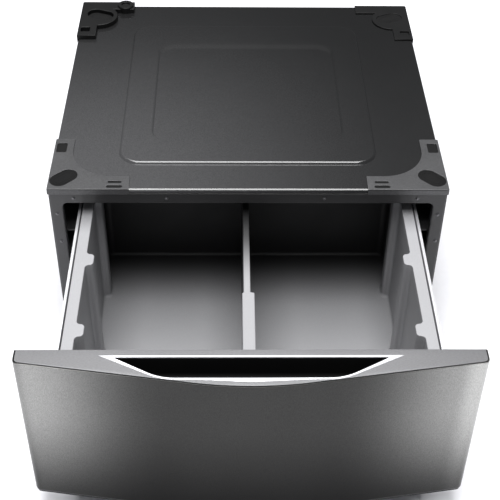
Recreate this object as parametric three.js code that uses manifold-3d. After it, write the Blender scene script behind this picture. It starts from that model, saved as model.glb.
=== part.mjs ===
// A laundry pedestal: the low steel cabinet that a 27 inch front-load washer stands on, with one
// wide storage drawer that is pulled out.
//
// Millimetres, +X right, +Y to the rear, +Z up, floor at z = 0. Every piece is made with the drawer
// shut and the cabinet's front face at y = 0. The groups at the end of the file pull the drawer out
// and move the origin to the middle of the footprint.

import * as THREE from 'three';
import { mergeVertices } from 'three/addons/utils/BufferGeometryUtils.js';
import Module from 'manifold-3d';

const wasm = await Module();
wasm.setup();

// Driving dimensions of the whole pedestal.
const GAP = 0.3; // air between pieces that touch
const SHEET = 1.2; // cabinet sheet steel
const HALF_WIDTH = 343; // over the corner brackets
const CABINET_HALF = HALF_WIDTH - SHEET - GAP; // over the side panels
const DEPTH = 630; // cabinet front face to back face
const TOP = 345; // top of the corner brackets above the floor
const BRACKET = 2.2; // corner bracket plate
const DECK_TOP = TOP - BRACKET - GAP;
const BASE_Z = 24; // underside of the cabinet
const PULL = 367; // how far the drawer stands open at rest
const PAST = 1; // how far a cutter runs past the piece that it cuts

// Segments round a full circle, and along each arc of an outline.
const SLIM = 20;
const ROUND = 28;
const COARSE_ARC = 4;
const RING_ARC = 6;
const FINE_ARC = 12;

// Deck: a sheet with turned-down edges and one raised rounded ring.
const DECK_CORNER = 8;
const DECK_EDGE = 12; // depth of the turned-down side and rear edges
const DECK_LIP = 6.5; // depth of the turned-down front edge
const RING = { halfWidth: 232, front: 65, back: 547, radius: 38, width: 73, height: 4, slope: 9 };
const RING_SIDE = 60; // width of the ring along the sides
const BRACE = { width: 40, height: 19, frontY: 140, rearY: 450 };

// Front frame around the drawer.
const COLUMN = 22.5;
const RAIL_BOTTOM = 313;
const MOUTH_HALF = CABINET_HALF - COLUMN;
const MOUTH_FLOOR = 46;
const MOUTH_CORNER = 10;
const RETURN = 14; // how far the frame's flanges run back

// Corner brackets for the washer's feet.
const ARM = { long: 139, deep: 36, side: 144, sideWidth: 34, fillet: 75, skirt: 12 };
const POCKET = { radius: 17, innerX: 311, innerY: 37, outerX: 324, outerY: 24 };
const BRACKET_HOLE = { inner: 22, outer: 4, frontY: 104, rearY: 131, corner: 2 };
const BRACKET_SLOTS = [
  { from: 220, to: 238, y: 19, radius: 3 },
  { from: 219, to: 239, y: 6.5, radius: 3.6 },
];
const PAD = 1.2; // thickness of the pad in a foot pocket
const REAR_ARM = { long: 109, deep: 31, side: 138, sideWidth: 38 };
const REAR_DISC = { x: 306, fromBack: 57, radius: 40 };
const REAR_POCKET = { innerX: 292, outerX: 312, rise: 8 };
const REAR_HOLE = { inner: 24, outer: 6, frontY: DEPTH - 122, rearY: DEPTH - 105, corner: 2 };
const TALL_BRACKET = 9; // height of the rear left bracket
const BOSS = { x: 252, fromBack: 17, radius: 17, height: 13 };

// Levelling feet.
const FOOT = { x: 319, frontY: 40, rearY: 590, pad: 20, padHeight: 9, stud: 5, studTop: 48 };
const FOOT_PLATE = { thick: 3, halfLength: 22, inner: 298 };
const NUT = { corner: 9.8, height: 6, sides: 6 };

// Ball-bearing slides: the right hand one, seen from behind; half heights from the slide's middle.
const SLIDE_Z = 215;
const SLIDE_LENGTH = 500;
const SLIDE_START = 4;
const INNER_START = 1; // the inner members, which ride on the drawer
const SUPPORT_START = RETURN + 2;
const SUPPORT = { web: 304.7, halfHeight: 25, thick: 1.5 };
const OUTER_MEMBER = { from: 295, to: 304.4, half: 22.5, thick: 1.2 };
const OUTER_CAGE = { from: 295.5, to: 302.8, half: 20.6, thick: 1.2, web: 0.7 };
const MIDDLE_MEMBER = { from: 294, to: 301.8, half: 18.6, thick: 1.2 };
const INNER_CAGE = { from: 294.5, to: 300.1, half: 16.6, thick: 1.2, web: 0.8 };
const INNER_MEMBER = { from: 291.7, to: 298.9, half: 14.7, thick: 1.2 };
const CAGE_Y = 250; // middle of the cages with the drawer shut
const CAGE_HALF = 80;
const MIDDLE_SHARE = 1 / 2; // how far each part moves for the drawer's travel
const OUTER_CAGE_SHARE = 1 / 4;
const INNER_CAGE_SHARE = 3 / 4;
const LEVER = { y: 250, halfLength: 30, halfHeight: 4, thick: 2 };
const LEVER_BOSS = { radius: 5, height: 3 };
const LEVER_TAB = { size: 6, height: 4 };

// Drawer tub.
const WALL = 2.3;
const TUB_HALF = 270;
const TUB_FRONT = 4;
const TUB_BACK = 525;
const TUB_CORNER = 12;
const FLOOR_Z = 55;
const TUB_TOP = 285;
const FLANGE_HALF = 289;
const FLANGE_LIP = 12;
const FLANGE = 2; // thickness of the tub's top flange
const FLUTE = 6.5; // radius of the four arcs that make one flute of the tub wall
const FLUTE_HALF = 20;
const FLUTE_Y = [92, 255, 418];
const DIVIDER = { x: -4, half: 5.5, thickHalf: 10, thickX: -2, thickEnd: 177, top: 284 };

// Steel drawer sides and rails.
const DRAWER_SIDE = { x: 290.2, foot: 262, bottom: 51, top: 284, hem: 296, back: 549 };
const CROSS_RAIL = { height: 3.2, width: 30, frontY: 120, rearY: 400 };
const REAR_RAIL = { front: 537, bottom: 53, top: 120 };

// Drawer front: two flat flanks that meet in a rounded crown.
const FRONT_GAP = 4; // closed gap between the drawer front and the cabinet
const FRONT_CREST = 76; // crown ahead of the cabinet face, drawer shut
const CROWN_RADIUS = 558;
const FLANK_ANGLE = 0.154; // radians
const END_RADIUS = 9;
const SKIN = 2;
const FRONT_BOTTOM = 38;
const FRONT_TOP = 343;
const CAP = 3;
const BACKING = 2.2;
const BACKING_RISE = 1; // backing plate's foot above the bottom of the front
const BUMPER = { x: 329, radius: 5, length: 3.3, lowZ: 60, highZ: 300 };

// Handle pocket in the top of the drawer front.
const HANDLE = { back: 19, front: 58.5, backCorner: 200, fillet: 80, filletX: 109.5, side: 0.518 };
const TRIM = { width: 3.5, rise: 1, depth: 8 };
const POCKET_CUP = { bottom: 300, wall: 2.2 };

// Finishes.
const finish = (color, roughness, metalness) =>
  new THREE.MeshStandardMaterial({ color, roughness, metalness });
const DECK_PAINT = finish(0x4a4a4e, 0.45, 0.4);
const BODY_PAINT = finish(0x3d3d41, 0.45, 0.4);
const BRACKET_GREY = finish(0x6a6b6e, 0.6, 0.3);
const BLACK_PLASTIC = finish(0x17171a, 0.5, 0);
const RUBBER = finish(0x1c1c1e, 0.85, 0);
const ZINC = finish(0xb9bcc0, 0.35, 0.9);
const CAGE_STEEL = finish(0x8d9094, 0.4, 0.9);
const TUB_GREY = finish(0xb4b6b9, 0.55, 0);
const GRAPHITE = finish(0x5b5c60, 0.3, 0.8);
const CAP_SILVER = finish(0xa4a6a9, 0.35, 0.5);
const BRIGHT_TRIM = finish(0xe4e6e8, 0.15, 0.9);

// A closed three.js geometry as a solid.
function solid(geometry) {
  geometry.deleteAttribute('normal');
  geometry.deleteAttribute('uv');
  const merged = mergeVertices(geometry);
  const vertProperties = new Float32Array(merged.attributes.position.array);
  const triVerts = new Uint32Array(merged.index.array);
  return new wasm.Manifold(new wasm.Mesh({ numProp: 3, vertProperties, triVerts }));
}

// A solid as a three.js geometry.
function geometryOf(piece) {
  const { vertProperties, triVerts } = piece.getMesh();
  const geometry = new THREE.BufferGeometry();
  geometry.setAttribute('position', new THREE.BufferAttribute(vertProperties, 3));
  geometry.setIndex(new THREE.BufferAttribute(triVerts, 1));
  geometry.computeVertexNormals();
  return geometry;
}

// A box between [low, high] along each axis.
function block(x, y, z) {
  const geometry = new THREE.BoxGeometry(x[1] - x[0], y[1] - y[0], z[1] - z[0]);
  geometry.translate((x[0] + x[1]) / 2, (y[0] + y[1]) / 2, (z[0] + z[1]) / 2);
  return solid(geometry);
}

// A box shell with walls of one thickness, without the walls named in open, such as '+z'.
function tray(x, y, z, thickness, open) {
  const inner = [[...x], [...y], [...z]].map(([low, high], axis) => {
    const letter = 'xyz'[axis];
    return [
      open.includes('-' + letter) ? low - thickness : low + thickness,
      open.includes('+' + letter) ? high + thickness : high - thickness,
    ];
  });
  return block(x, y, z).subtract(block(...inner));
}

// A flat outline in X and Y, raised from z0 to z1.
function prism(outline, z0, z1, curveSegments = 8) {
  const depth = z1 - z0;
  const geometry = new THREE.ExtrudeGeometry(outline, { depth, bevelEnabled: false, curveSegments });
  geometry.translate(0, 0, z0);
  return solid(geometry);
}

// A flat outline in X and Z, run along Y from y0 to y1.
function beam(outline, y0, y1) {
  const depth = y1 - y0;
  const geometry = new THREE.ExtrudeGeometry(outline, { depth, bevelEnabled: false });
  geometry.rotateX(Math.PI / 2);
  geometry.translate(0, y1, 0);
  return solid(geometry);
}

// An outline with sloping sides: full size at z, pulled in by slope one height above and below.
function sloped(outline, z, height, slope) {
  const geometry = new THREE.ExtrudeGeometry(outline, {
    depth: height,
    bevelThickness: height,
    bevelSize: slope,
    bevelOffset: -slope,
    bevelSegments: 1,
    curveSegments: RING_ARC,
  });
  geometry.translate(0, 0, z);
  return solid(geometry);
}

// An upright cylinder.
function rod(x, y, radius, z0, z1, segments = SLIM) {
  const geometry = new THREE.CylinderGeometry(radius, radius, z1 - z0, segments);
  geometry.rotateX(Math.PI / 2);
  geometry.translate(x, y, (z0 + z1) / 2);
  return solid(geometry);
}

// A cylinder lying along X from x0 to x1.
function pin(x0, x1, y, z, radius) {
  const geometry = new THREE.CylinderGeometry(radius, radius, x1 - x0, SLIM);
  geometry.rotateZ(Math.PI / 2);
  geometry.translate((x0 + x1) / 2, y, z);
  return solid(geometry);
}

// A rectangle with round corners.
function roundedRect([x0, x1], [y0, y1], radius) {
  const shape = new THREE.Shape();
  shape.moveTo(x0 + radius, y0);
  shape.absarc(x1 - radius, y0 + radius, radius, -Math.PI / 2, 0);
  shape.absarc(x1 - radius, y1 - radius, radius, 0, Math.PI / 2);
  shape.absarc(x0 + radius, y1 - radius, radius, Math.PI / 2, Math.PI);
  shape.absarc(x0 + radius, y0 + radius, radius, Math.PI, 1.5 * Math.PI);
  return shape;
}

// A slot with round ends between two points.
function capsule(x0, y0, x1, y1, radius) {
  const along = Math.atan2(y1 - y0, x1 - x0);
  const shape = new THREE.Shape();
  shape.absarc(x1, y1, radius, along - Math.PI / 2, along + Math.PI / 2);
  shape.absarc(x0, y0, radius, along + Math.PI / 2, along + 1.5 * Math.PI);
  return shape;
}

function addPiece(group, name, piece, material) {
  const mesh = new THREE.Mesh(geometryOf(piece), material);
  mesh.name = name;
  group.add(mesh);
  return mesh;
}

// A right hand piece and its mirror image on the left, which may move in a group of its own.
function addPair(group, name, piece, material, leftGroup = group) {
  addPiece(group, name + '_right', piece, material);
  addPiece(leftGroup, name + '_left', piece, material).scale.x = -1;
}

// ---- Cabinet ----

// The raised ring of the deck, with its foot at height z.
function deckRing(z) {
  const { halfWidth, front, back, radius, width, height, slope } = RING;
  const outer = roundedRect([-halfWidth, halfWidth], [front, back], radius);
  const innerHalf = halfWidth - RING_SIDE + slope;
  const inner = roundedRect([-innerHalf, innerHalf], [front + width - slope, back - RING_SIDE], radius);
  const raised = sloped(outer, z - height, height, slope);
  const above = block([-halfWidth, halfWidth], [front, back], [z - SHEET, z + height]);
  return raised.intersect(above).subtract(sloped(inner, z + height, height, slope));
}

function topDeck() {
  const bottom = DECK_TOP - DECK_EDGE;
  const inside = CABINET_HALF - SHEET;
  const outline = roundedRect([-CABINET_HALF, CABINET_HALF], [0, DEPTH], DECK_CORNER);
  const hollow = roundedRect([-inside, inside], [SHEET, DEPTH - SHEET], DECK_CORNER - SHEET);
  const shell = prism(outline, bottom, DECK_TOP).subtract(prism(hollow, bottom - PAST, DECK_TOP - SHEET));
  const cutY = [-PAST, RETURN + 2 * PAST];
  const frontCut = block([-HALF_WIDTH, HALF_WIDTH], cutY, [bottom - PAST, DECK_TOP - DECK_LIP]);
  return shell.subtract(frontCut).add(deckRing(DECK_TOP)).subtract(deckRing(DECK_TOP - SHEET));
}

function deckBrace(y) {
  const top = DECK_TOP - SHEET - GAP;
  const half = CABINET_HALF - SHEET - GAP;
  return tray([-half, half], [y, y + BRACE.width], [top - BRACE.height, top], SHEET, ['+z', '-x', '+x']);
}

function sidePanel() {
  const top = DECK_TOP - DECK_EDGE - GAP;
  return block([CABINET_HALF - SHEET, CABINET_HALF], [SHEET + GAP, DEPTH - SHEET - GAP], [BASE_Z, top]);
}

function backPanel() {
  const top = DECK_TOP - DECK_EDGE - GAP;
  return block([-CABINET_HALF, CABINET_HALF], [DEPTH - SHEET, DEPTH], [BASE_Z, top]);
}

function frontFrame() {
  const top = DECK_TOP - DECK_LIP - GAP;
  const flangeHalf = CABINET_HALF - SHEET - GAP;
  const mouth = roundedRect([-MOUTH_HALF, MOUTH_HALF], [MOUTH_FLOOR, RAIL_BOTTOM], MOUTH_CORNER);
  const rim = roundedRect(
    [-MOUTH_HALF - SHEET, MOUTH_HALF + SHEET],
    [MOUTH_FLOOR - SHEET, RAIL_BOTTOM + SHEET],
    MOUTH_CORNER + SHEET,
  );
  const z = [BASE_Z - PAST, top + PAST];
  const depth = [SHEET, RETURN + PAST];
  const inside = block([SHEET - flangeHalf, flangeHalf - SHEET], depth, z);
  const hollow = inside.subtract(beam(rim, 0, RETURN + 2 * PAST));
  return block([-CABINET_HALF, CABINET_HALF], [0, RETURN], [BASE_Z, top])
    .subtract(hollow)
    .subtract(block([flangeHalf, HALF_WIDTH], depth, z))
    .subtract(block([-HALF_WIDTH, -flangeHalf], depth, z))
    .subtract(beam(mouth, -PAST, RETURN + PAST));
}

function basePan() {
  const half = CABINET_HALF - SHEET - GAP;
  const low = BASE_Z + SHEET + GAP;
  const back = DEPTH - SHEET - GAP;
  let pan = tray([-half, half], [RETURN + GAP, back], [low, low + DECK_EDGE], SHEET, ['+z']);
  for (const x of [-FOOT.x, FOOT.x]) {
    for (const y of [FOOT.frontY, FOOT.rearY]) {
      pan = pan.subtract(rod(x, y, FOOT.stud + PAST, low - PAST, low + SHEET + PAST));
    }
  }
  return pan;
}

// A rectangular hole near the outer edge of a corner bracket.
function edgeHole({ inner, outer, frontY, rearY, corner }) {
  return roundedRect([HALF_WIDTH - inner, HALF_WIDTH - outer], [frontY, rearY], corner);
}

// The foot pocket of a rear bracket, grown outwards.
function rearPocket(grow) {
  const { innerX, outerX, rise } = REAR_POCKET;
  const y = DEPTH - REAR_DISC.fromBack;
  return capsule(innerX, y, outerX, y + rise, POCKET.radius + grow);
}

// Plate for a washer foot with a turned-down front and side edge.
function frontBracket() {
  const { long, deep, side, sideWidth, fillet, skirt } = ARM;
  const inside = HALF_WIDTH - sideWidth;
  const front = -SHEET - GAP;
  const shape = new THREE.Shape();
  shape.moveTo(HALF_WIDTH - long, front);
  shape.lineTo(HALF_WIDTH, front);
  shape.lineTo(HALF_WIDTH, side);
  shape.lineTo(inside, side);
  shape.absarc(inside - fillet, deep + fillet, fillet, 0, -Math.PI / 2, true);
  shape.lineTo(HALF_WIDTH - long, deep);
  shape.holes.push(capsule(POCKET.innerX, POCKET.innerY, POCKET.outerX, POCKET.outerY, POCKET.radius));
  shape.holes.push(edgeHole(BRACKET_HOLE));
  for (const slot of BRACKET_SLOTS) {
    shape.holes.push(capsule(slot.from, slot.y, slot.to, slot.y, slot.radius));
  }
  const frontSkirt = block([HALF_WIDTH - long, HALF_WIDTH], [front, -GAP], [TOP - skirt, TOP]);
  const sideSkirt = block([HALF_WIDTH - SHEET, HALF_WIDTH], [front, side], [TOP - skirt, TOP]);
  return prism(shape, TOP - BRACKET, TOP).add(frontSkirt).add(sideSkirt);
}

// Plate for a rear washer foot: an L with a round pad over its corner.
function rearBracket(height) {
  const { long, deep, side, sideWidth } = REAR_ARM;
  const z = [TOP - BRACKET, TOP - BRACKET + height];
  const sideArm = block([HALF_WIDTH - sideWidth, HALF_WIDTH], [DEPTH - side, DEPTH], z);
  const backArm = block([HALF_WIDTH - long, HALF_WIDTH], [DEPTH - deep, DEPTH], z);
  const disc = rod(REAR_DISC.x, DEPTH - REAR_DISC.fromBack, REAR_DISC.radius, ...z, ROUND);
  const bounds = block([0, HALF_WIDTH], [0, DEPTH], [0, TOP + height]);
  const skirt = block([HALF_WIDTH - SHEET, HALF_WIDTH], [DEPTH - side, DEPTH], [TOP - ARM.skirt, z[1]]);
  return sideArm
    .add(backArm)
    .add(disc)
    .intersect(bounds)
    .add(skirt)
    .subtract(prism(rearPocket(0), z[0] - PAST, z[1] + PAST))
    .subtract(prism(edgeHole(REAR_HOLE), z[0] - PAST, z[1] + PAST));
}

function tallBracket() {
  const { x, fromBack, radius, height } = BOSS;
  const low = TOP - BRACKET;
  return rearBracket(TALL_BRACKET).add(rod(x, DEPTH - fromBack, radius, low, low + height, ROUND));
}

function frontFootPad() {
  const { innerX, innerY, outerX, outerY, radius } = POCKET;
  return prism(capsule(innerX, innerY, outerX, outerY, radius - GAP), TOP - BRACKET, TOP - BRACKET + PAD);
}

function rearFootPad() {
  return prism(rearPocket(-GAP), TOP - BRACKET, TOP - BRACKET + PAD);
}

// ---- Feet ----

function footPlate(y) {
  const outer = CABINET_HALF - SHEET - GAP;
  const z = [BASE_Z + SHEET - FOOT_PLATE.thick, BASE_Z + SHEET];
  const plate = block([FOOT_PLATE.inner, outer], [y - FOOT_PLATE.halfLength, y + FOOT_PLATE.halfLength], z);
  return plate.subtract(rod(FOOT.x, y, FOOT.stud + PAST, z[0] - PAST, z[1] + PAST));
}

function lockNut(y) {
  const top = BASE_Z + SHEET - FOOT_PLATE.thick - GAP;
  const hexagon = rod(FOOT.x, y, NUT.corner, top - NUT.height, top, NUT.sides);
  return hexagon.subtract(rod(FOOT.x, y, FOOT.stud + GAP, top - NUT.height - PAST, top + PAST));
}

function levellingFoot(y) {
  const pad = rod(FOOT.x, y, FOOT.pad, 0, FOOT.padHeight, ROUND);
  return pad.add(rod(FOOT.x, y, FOOT.stud, FOOT.padHeight - PAST, FOOT.studTop));
}

// ---- Slides ----

// A channel lying along Y with its back at the outer or inner side.
function channel({ from, to, half, thick, web = thick }, y, open) {
  const z = [SLIDE_Z - half, SLIDE_Z + half];
  const x = [from, to];
  const hollowX = open === '-x' ? [from - PAST, to - web] : [from + web, to + PAST];
  const hollow = block(hollowX, [y[0] - PAST, y[1] + PAST], [z[0] + thick, z[1] - thick]);
  return block(x, y, z).subtract(hollow);
}

function slideSupport() {
  const { web, halfHeight, thick } = SUPPORT;
  const z = [SLIDE_Z - halfHeight, SLIDE_Z + halfHeight];
  const outer = CABINET_HALF - SHEET - GAP;
  const y = [SUPPORT_START, DEPTH - SHEET - GAP];
  return tray([web, outer], y, z, thick, ['+x', '-y', '+y']);
}

function releaseLever() {
  const { y, halfLength, halfHeight, thick } = LEVER;
  const { size, height } = LEVER_TAB;
  const x = INNER_MEMBER.from + INNER_MEMBER.thick + GAP;
  const front = y - halfLength;
  const arm = block([x, x + thick], [front, y + halfLength], [SLIDE_Z - halfHeight, SLIDE_Z + halfHeight]);
  const thumb = block([x, x + height], [front, front + size], [SLIDE_Z - size, SLIDE_Z + size]);
  return arm.add(thumb).add(pin(x, x + LEVER_BOSS.height, y, SLIDE_Z, LEVER_BOSS.radius));
}

// ---- Drawer ----

// One flute of the tub wall: two arcs in, a flat crest, two arcs out. turn is 0 on the right wall,
// drawn towards the rear, and PI on the left wall, drawn towards the front.
function flute(shape, y, turn, offset) {
  const side = Math.cos(turn);
  const x = side * (TUB_HALF - FLUTE);
  const quarter = Math.PI / 2;
  const near = FLUTE + offset;
  const far = FLUTE - offset;
  const end = FLUTE_HALF - 2 * FLUTE;
  shape.absarc(x, y - side * FLUTE_HALF, near, turn, turn + quarter);
  shape.absarc(x, y - side * end, far, turn - quarter, turn - 2 * quarter, true);
  shape.absarc(x, y + side * end, far, turn + 2 * quarter, turn + quarter, true);
  shape.absarc(x, y + side * FLUTE_HALF, near, turn - quarter, turn);
}

// Plan of the tub wall, offset outwards from its inner face.
function tubOutline(offset) {
  const half = TUB_HALF - TUB_CORNER;
  const front = TUB_FRONT + TUB_CORNER;
  const back = TUB_BACK - TUB_CORNER;
  const radius = TUB_CORNER + offset;
  const shape = new THREE.Shape();
  shape.absarc(half, front, radius, -Math.PI / 2, 0);
  FLUTE_Y.forEach((y) => flute(shape, y, 0, offset));
  shape.absarc(half, back, radius, 0, Math.PI / 2);
  shape.absarc(-half, back, radius, Math.PI / 2, Math.PI);
  [...FLUTE_Y].reverse().forEach((y) => flute(shape, y, Math.PI, offset));
  shape.absarc(-half, front, radius, Math.PI, 1.5 * Math.PI);
  return shape;
}

function drawerTub() {
  const flangeBack = TUB_BACK + FLANGE_HALF - TUB_HALF;
  const flange = tray(
    [-FLANGE_HALF, FLANGE_HALF],
    [TUB_FRONT - WALL, flangeBack],
    [TUB_TOP - FLANGE_LIP, TUB_TOP],
    FLANGE,
    ['-z', '-y'],
  );
  const walls = prism(tubOutline(WALL), FLOOR_Z - WALL, TUB_TOP, COARSE_ARC);
  return walls.add(flange).subtract(prism(tubOutline(0), FLOOR_Z, TUB_TOP + PAST, COARSE_ARC));
}

function drawerDivider() {
  const { x, half, thickHalf, thickX, thickEnd, top } = DIVIDER;
  const z = [FLOOR_Z + GAP, top];
  const blade = block([x - half, x + half], [TUB_FRONT + GAP, TUB_BACK - GAP], z);
  const post = block([thickX - thickHalf, thickX + thickHalf], [TUB_FRONT + GAP, thickEnd], z);
  return blade.add(post);
}

function drawerSide() {
  const { x, foot, bottom, top, hem, back } = DRAWER_SIDE;
  const front = -FRONT_GAP + GAP;
  const plate = block([x, x + SHEET], [front, back], [bottom, top]);
  const flange = block([foot, x + SHEET], [front, back], [bottom, bottom + SHEET]);
  const face = block([foot, x + SHEET], [front, front + SHEET], [bottom, top]);
  return plate.add(flange).add(face).add(block([x, hem], [front, back], [top - SHEET, top]));
}

function crossRail(y) {
  const half = DRAWER_SIDE.x;
  const top = DRAWER_SIDE.bottom - GAP;
  const z = [top - CROSS_RAIL.height, top];
  return tray([-half, half], [y, y + CROSS_RAIL.width], z, SHEET, ['+z', '-x', '+x']);
}

function rearRail() {
  const half = DRAWER_SIDE.x - GAP;
  const { front, bottom, top } = REAR_RAIL;
  return tray([-half, half], [front, DRAWER_SIDE.back], [bottom, top], SHEET, ['+y', '-x', '+x']);
}

// Plan of the drawer front, offset inwards, with its open rear edge at y = back.
function frontOutline(inset, back) {
  const crown = CROWN_RADIUS - FRONT_CREST;
  const slope = Math.PI / 2 - FLANK_ANGLE;
  const endX = HALF_WIDTH - END_RADIUS;
  const reach = CROWN_RADIUS - END_RADIUS - endX * Math.sin(FLANK_ANGLE);
  const endY = crown - reach / Math.cos(FLANK_ANGLE);
  const radius = END_RADIUS - inset;
  const shape = new THREE.Shape();
  shape.absarc(endX, endY, radius, 0, -slope, true);
  shape.absarc(0, crown, CROWN_RADIUS - inset, -slope, slope - Math.PI, true);
  shape.absarc(-endX, endY, radius, slope - Math.PI, -Math.PI, true);
  shape.lineTo(-HALF_WIDTH + inset, back);
  shape.lineTo(HALF_WIDTH - inset, back);
  return shape;
}

// Plan of the handle opening, grown outwards: a straight rear edge, two slanting sides and a
// straight front edge with large fillets.
function handleOutline(grow) {
  const { back, front, backCorner, fillet, filletX, side } = HANDLE;
  const radius = fillet + grow;
  const widen = (grow * (1 + Math.cos(side))) / Math.sin(side);
  const shape = new THREE.Shape();
  shape.absarc(-filletX, fillet - front, radius, -Math.PI / 2 - side, -Math.PI / 2);
  shape.absarc(filletX, fillet - front, radius, -Math.PI / 2, side - Math.PI / 2);
  shape.lineTo(backCorner + widen, -back + grow);
  shape.lineTo(-backCorner - widen, -back + grow);
  return shape;
}

function frontSkin() {
  const top = FRONT_TOP - CAP - GAP;
  const outer = prism(frontOutline(0, -FRONT_GAP), FRONT_BOTTOM, top, FINE_ARC);
  return outer.subtract(prism(frontOutline(SKIN, 0), FRONT_BOTTOM - PAST, top + PAST, FINE_ARC));
}

function topCap() {
  const cap = prism(frontOutline(0, -FRONT_GAP), FRONT_TOP - CAP, FRONT_TOP, FINE_ARC);
  return cap.subtract(prism(handleOutline(TRIM.width + GAP), FRONT_TOP - CAP - PAST, FRONT_TOP + PAST));
}

function bottomCap() {
  const inside = -FRONT_GAP - BACKING - GAP;
  return prism(frontOutline(SKIN + GAP, inside), FRONT_BOTTOM, FRONT_BOTTOM + CAP, FINE_ARC);
}

function frontBacking() {
  const half = HALF_WIDTH - SKIN - GAP;
  const z = [FRONT_BOTTOM + BACKING_RISE, FRONT_TOP - CAP - GAP];
  return block([-half, half], [-FRONT_GAP - BACKING, -FRONT_GAP], z);
}

function handleTrim() {
  const z = [FRONT_TOP - TRIM.depth, FRONT_TOP + TRIM.rise];
  return prism(handleOutline(TRIM.width), ...z).subtract(prism(handleOutline(0), z[0] - PAST, z[1] + PAST));
}

function handlePocket() {
  const top = FRONT_TOP - TRIM.depth - GAP;
  const { bottom, wall } = POCKET_CUP;
  const cup = prism(handleOutline(wall), bottom, top);
  return cup.subtract(prism(handleOutline(0), bottom + wall, top + PAST));
}

function bumper(z) {
  const geometry = new THREE.CylinderGeometry(BUMPER.radius, BUMPER.radius, BUMPER.length, SLIM);
  geometry.translate(BUMPER.x, -FRONT_GAP + GAP + BUMPER.length / 2, z);
  return solid(geometry);
}

// ---- Assembly ----

const pedestal = new THREE.Group();
const cabinet = new THREE.Group();
const drawer = new THREE.Group();
const middle = new THREE.Group();
const outerCages = new THREE.Group();
const innerCages = new THREE.Group();
pedestal.add(cabinet, drawer, middle, outerCages, innerCages);

addPiece(cabinet, 'top_deck', topDeck(), DECK_PAINT);
addPiece(cabinet, 'deck_brace_front', deckBrace(BRACE.frontY), BODY_PAINT);
addPiece(cabinet, 'deck_brace_rear', deckBrace(BRACE.rearY), BODY_PAINT);
addPair(cabinet, 'side_panel', sidePanel(), BODY_PAINT);
addPiece(cabinet, 'back_panel', backPanel(), BODY_PAINT);
addPiece(cabinet, 'front_frame', frontFrame(), BODY_PAINT);
addPiece(cabinet, 'base_pan', basePan(), BODY_PAINT);
addPair(cabinet, 'corner_bracket_front', frontBracket(), BRACKET_GREY);
addPiece(cabinet, 'corner_bracket_rear_right', rearBracket(BRACKET), BODY_PAINT);
addPiece(cabinet, 'corner_bracket_rear_left', tallBracket(), BLACK_PLASTIC).scale.x = -1;
addPair(cabinet, 'washer_foot_pad_front', frontFootPad(), RUBBER);
addPair(cabinet, 'washer_foot_pad_rear', rearFootPad(), RUBBER);
addPair(cabinet, 'slide_support', slideSupport(), BODY_PAINT);
const members = [SLIDE_START, SLIDE_START + SLIDE_LENGTH];
addPair(cabinet, 'slide_outer', channel(OUTER_MEMBER, members, '-x'), ZINC);
for (const [end, y] of [['front', FOOT.frontY], ['rear', FOOT.rearY]]) {
  addPair(cabinet, 'foot_plate_' + end, footPlate(y), ZINC);
  addPair(cabinet, 'lock_nut_' + end, lockNut(y), ZINC);
  addPair(cabinet, 'levelling_foot_' + end, levellingFoot(y), RUBBER);
}

const cageSpan = [CAGE_Y - CAGE_HALF, CAGE_Y + CAGE_HALF];
addPair(middle, 'slide_middle', channel(MIDDLE_MEMBER, members, '-x'), ZINC);
addPair(outerCages, 'ball_cage_outer', channel(OUTER_CAGE, cageSpan, '-x'), CAGE_STEEL);
addPair(innerCages, 'ball_cage_inner', channel(INNER_CAGE, cageSpan, '-x'), CAGE_STEEL);

addPiece(drawer, 'drawer_tub', drawerTub(), TUB_GREY);
addPiece(drawer, 'drawer_divider', drawerDivider(), TUB_GREY);
addPair(drawer, 'drawer_side', drawerSide(), ZINC);
const innerSpan = [INNER_START, INNER_START + SLIDE_LENGTH];
addPair(drawer, 'slide_inner', channel(INNER_MEMBER, innerSpan, '+x'), ZINC);
addPair(drawer, 'release_lever', releaseLever(), BLACK_PLASTIC);
addPiece(drawer, 'cross_rail_front', crossRail(CROSS_RAIL.frontY), ZINC);
addPiece(drawer, 'cross_rail_rear', crossRail(CROSS_RAIL.rearY), ZINC);
addPiece(drawer, 'drawer_rear_rail', rearRail(), ZINC);
addPiece(drawer, 'front_skin', frontSkin(), GRAPHITE);
addPiece(drawer, 'front_top_cap', topCap(), CAP_SILVER);
addPiece(drawer, 'front_bottom_cap', bottomCap(), BLACK_PLASTIC);
addPiece(drawer, 'front_backing', frontBacking(), BODY_PAINT);
addPiece(drawer, 'handle_pocket', handlePocket(), BLACK_PLASTIC);
addPiece(drawer, 'handle_trim', handleTrim(), BRIGHT_TRIM);
addPair(drawer, 'bumper_low', bumper(BUMPER.lowZ), RUBBER);
addPair(drawer, 'bumper_high', bumper(BUMPER.highZ), RUBBER);

drawer.position.y = -PULL;
middle.position.y = -PULL * MIDDLE_SHARE;
outerCages.position.y = -PULL * OUTER_CAGE_SHARE;
innerCages.position.y = -PULL * INNER_CAGE_SHARE;
pedestal.position.y = (PULL + FRONT_CREST - DEPTH) / 2;

export default pedestal;
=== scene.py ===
import math

import bmesh
import bpy
from mathutils import Matrix, Vector
from mathutils.geometry import tessellate_polygon


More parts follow.
